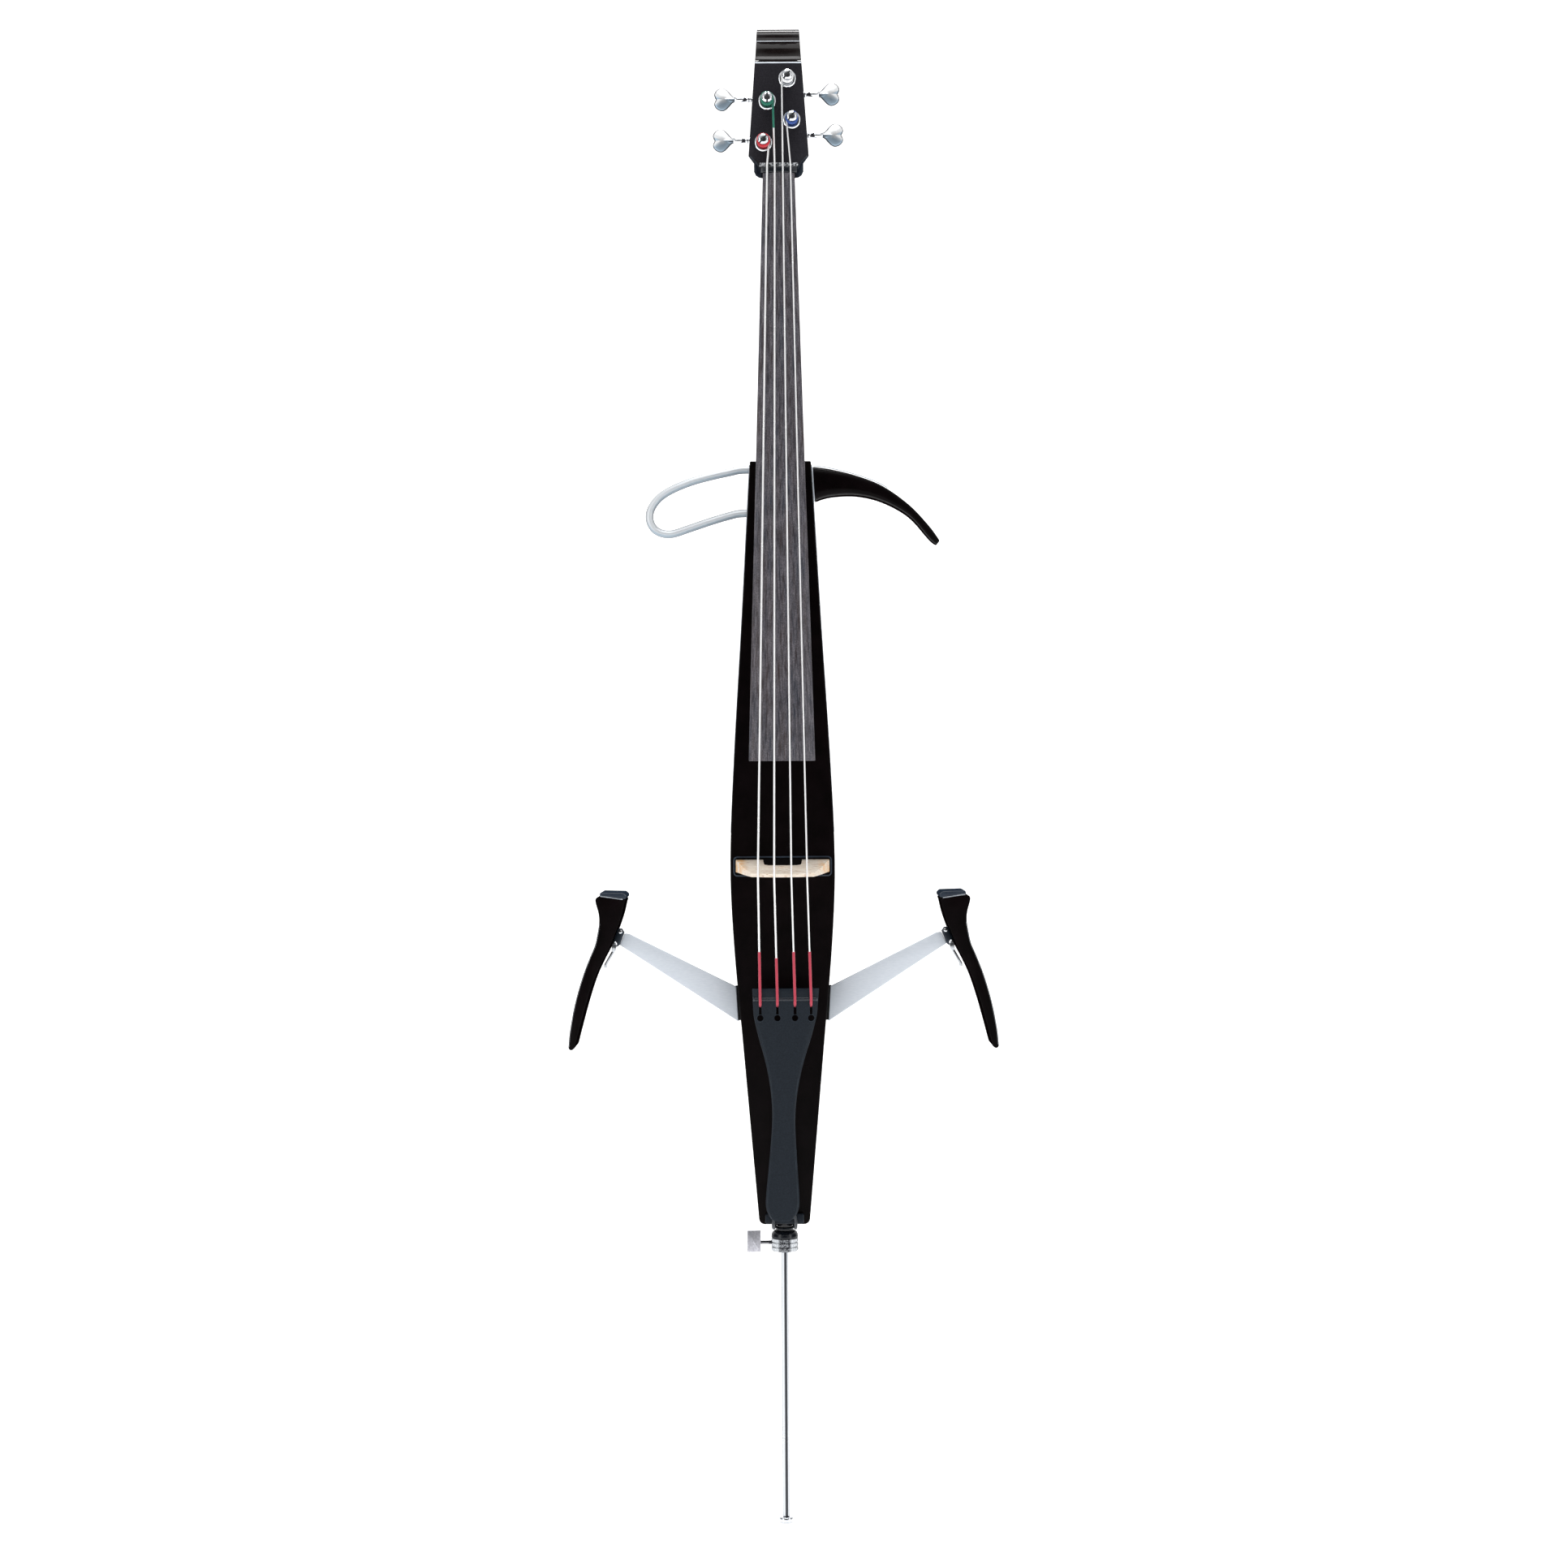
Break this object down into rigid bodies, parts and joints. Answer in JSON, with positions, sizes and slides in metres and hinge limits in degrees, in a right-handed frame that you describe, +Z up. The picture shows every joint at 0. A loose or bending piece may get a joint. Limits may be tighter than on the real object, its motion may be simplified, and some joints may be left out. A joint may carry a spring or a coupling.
{
  "type": "electric frame cello",
  "caption": "Slim electric cello with a narrow solid body, detachable bout frame, folding knee supports and a sliding endpin.",
  "frame": {"origin": "tip of the endpin, at its small flat", "axes": "+Z up along the endpin to the head, -Y is the string side, +X is the high-string side"},
  "size_m": [0.4228, 0.1441, 1.4885],
  "materials": {
    "black_lacquer": "near-black satin gloss lacquer",
    "charcoal": "charcoal satin",
    "ebony": "oiled dark fingerboard wood, streaked grain",
    "maple": "plain light maple with flecks",
    "chrome": "polished",
    "steel": "satin",
    "string_steel": "flat-wound, bright",
    "aluminium": "satin anodised",
    "black_plastic": "fine texture",
    "circuit_green": "solder mask"
  },
  "bodies": {
    "body": {"body_shell": "black_lacquer", "back_cover": "black_plastic", "jack_panel": "charcoal", "circuit_board": "circuit_green", "battery_holder": "black_plastic", "neck": "black_lacquer", "head": "charcoal", "fingerboard": "ebony", "nut": "charcoal", "bridge": "maple", "pickup_frame": "charcoal", "bridge_pickup": "black_plastic", "saddle": "charcoal", "tailpiece": "charcoal", "tailgut": "steel", "endpin_socket": "black_plastic", "endpin_collar": "chrome", "endpin_tube": "aluminium", "arm_bracket_left": "black_plastic", "arm_bracket_right": "black_plastic", "ferrule_c": "chrome", "ferrule_g": "chrome", "ferrule_d": "chrome", "ferrule_a": "chrome", "tuner_plate_c": "steel", "tuner_plate_g": "steel", "tuner_plate_d": "steel", "tuner_plate_a": "steel", "string_c": "string_steel", "string_g": "string_steel", "string_d": "string_steel", "string_a": "string_steel"},
    "endpin": {"endpin_rod": "steel", "endpin_tip": "chrome"},
    "endpin_screw": {"endpin_thumbscrew": "steel"},
    "tuner_knob_c": {"worm_knob_c": "chrome"},
    "tuner_post_c": {"string_post_c": "chrome"},
    "tuner_knob_g": {"worm_knob_g": "chrome"},
    "tuner_post_g": {"string_post_g": "chrome"},
    "tuner_knob_d": {"worm_knob_d": "chrome"},
    "tuner_post_d": {"string_post_d": "chrome"},
    "tuner_knob_a": {"worm_knob_a": "chrome"},
    "tuner_post_a": {"string_post_a": "chrome"},
    "arm_left": {"knee_arm_left": "aluminium"},
    "knee_left": {"knee_piece_left": "black_lacquer", "knee_cap_left": "charcoal", "knee_hinge_block_left": "black_plastic"},
    "lever_left": {"knee_lever_left": "steel"},
    "arm_right": {"knee_arm_right": "aluminium"},
    "knee_right": {"knee_piece_right": "black_lacquer", "knee_cap_right": "charcoal", "knee_hinge_block_right": "black_plastic"},
    "lever_right": {"knee_lever_right": "steel"},
    "horn": {"upper_bout": "black_lacquer", "upper_bout_plate": "aluminium"},
    "horn_screw": {"upper_bout_screw": "chrome"},
    "shoulder": {"shoulder_loop": "aluminium"},
    "volume": {"volume_knob": "black_plastic"},
    "power": {"power_switch": "black_plastic"},
    "door": {"battery_door": "black_plastic"}
  },
  "joints": [
    {"name": "endpin_slide", "type": "slide", "parent": "body", "child": "endpin", "axis": [0, 0, 1], "range_m": [-0.03, 0.25]},
    {"name": "endpin_screw_turn", "type": "hinge", "parent": "body", "child": "endpin_screw", "pos_m": [0, 0, 0.2934], "axis": [1, 0, 0], "range_deg": [-360, 90]},
    {"name": "tuner_knob_turn_c", "type": "hinge", "parent": "body", "child": "tuner_knob_c", "pos_m": [0, -0.0014, 1.3844], "axis": [1, 0, 0], "continuous": true},
    {"name": "string_post_turn_c", "type": "hinge", "parent": "body", "child": "tuner_post_c", "pos_m": [-0.0148, -0.0014, 1.3758], "axis": [0, 1, 0], "continuous": true},
    {"name": "tuner_knob_turn_g", "type": "hinge", "parent": "body", "child": "tuner_knob_g", "pos_m": [0, -0.0014, 1.4252], "axis": [1, 0, 0], "continuous": true},
    {"name": "string_post_turn_g", "type": "hinge", "parent": "body", "child": "tuner_post_g", "pos_m": [-0.0109, -0.0014, 1.4166], "axis": [0, 1, 0], "continuous": true},
    {"name": "tuner_knob_turn_d", "type": "hinge", "parent": "body", "child": "tuner_knob_d", "pos_m": [0, -0.0014, 1.4299], "axis": [1, 0, 0], "continuous": true},
    {"name": "string_post_turn_d", "type": "hinge", "parent": "body", "child": "tuner_post_d", "pos_m": [0.0088, -0.0014, 1.4385], "axis": [0, 1, 0], "continuous": true},
    {"name": "tuner_knob_turn_a", "type": "hinge", "parent": "body", "child": "tuner_knob_a", "pos_m": [0, -0.0014, 1.3894], "axis": [1, 0, 0], "continuous": true},
    {"name": "string_post_turn_a", "type": "hinge", "parent": "body", "child": "tuner_post_a", "pos_m": [0.013, -0.0014, 1.398], "axis": [0, 1, 0], "continuous": true},
    {"name": "knee_arm_fold_left", "type": "hinge", "parent": "body", "child": "arm_left", "pos_m": [-0.051, 0, 0.5305], "axis": [0, 0, -1], "range_deg": [0, 88]},
    {"name": "knee_piece_fold_left", "type": "hinge", "parent": "arm_left", "child": "knee_left", "pos_m": [-0.1605, 0, 0.6026], "axis": [0, 1, 0], "range_deg": [0, 60]},
    {"name": "knee_lever_press_left", "type": "hinge", "parent": "knee_left", "child": "lever_left", "pos_m": [-0.1663, 0, 0.5905], "axis": [0, -1, 0], "range_deg": [0, 15], "stiffness_Nm_per_rad": 0.05},
    {"name": "knee_arm_fold_right", "type": "hinge", "parent": "body", "child": "arm_right", "pos_m": [0.051, 0, 0.5305], "axis": [0, 0, 1], "range_deg": [0, 88]},
    {"name": "knee_piece_fold_right", "type": "hinge", "parent": "arm_right", "child": "knee_right", "pos_m": [0.1605, 0, 0.6026], "axis": [0, -1, 0], "range_deg": [0, 60]},
    {"name": "knee_lever_press_right", "type": "hinge", "parent": "knee_right", "child": "lever_right", "pos_m": [0.1663, 0, 0.5905], "axis": [0, 1, 0], "range_deg": [0, 15], "stiffness_Nm_per_rad": 0.05},
    {"name": "horn_slide", "type": "slide", "parent": "body", "child": "horn", "axis": [1, 0, 0], "range_m": [0, 0.018]},
    {"name": "horn_screw_turn", "type": "hinge", "parent": "body", "child": "horn_screw", "pos_m": [0.022, 0.027, 1.042], "axis": [0, 1, 0], "range_deg": [0, 360]},
    {"name": "shoulder_loop_slide", "type": "slide", "parent": "body", "child": "shoulder", "axis": [-1, 0, 0], "range_m": [0, 0.014]},
    {"name": "volume_turn", "type": "hinge", "parent": "body", "child": "volume", "pos_m": [-0.012, 0.027, 0.78], "axis": [0, 1, 0], "range_deg": [-150, 150]},
    {"name": "power_slide", "type": "slide", "parent": "body", "child": "power", "axis": [0, 0, 1], "range_m": [0, 0.003]},
    {"name": "battery_door_turn", "type": "hinge", "parent": "body", "child": "door", "pos_m": [0, 0.027, 0.626], "axis": [-1, 0, 0], "range_deg": [0, 110]}
  ],
  "couplings": [
    {"joint": "string_post_turn_c", "follows": "tuner_knob_turn_c", "ratio": 0.066667},
    {"joint": "string_post_turn_g", "follows": "tuner_knob_turn_g", "ratio": 0.066667},
    {"joint": "string_post_turn_d", "follows": "tuner_knob_turn_d", "ratio": 0.066667},
    {"joint": "string_post_turn_a", "follows": "tuner_knob_turn_a", "ratio": 0.066667}
  ]
}
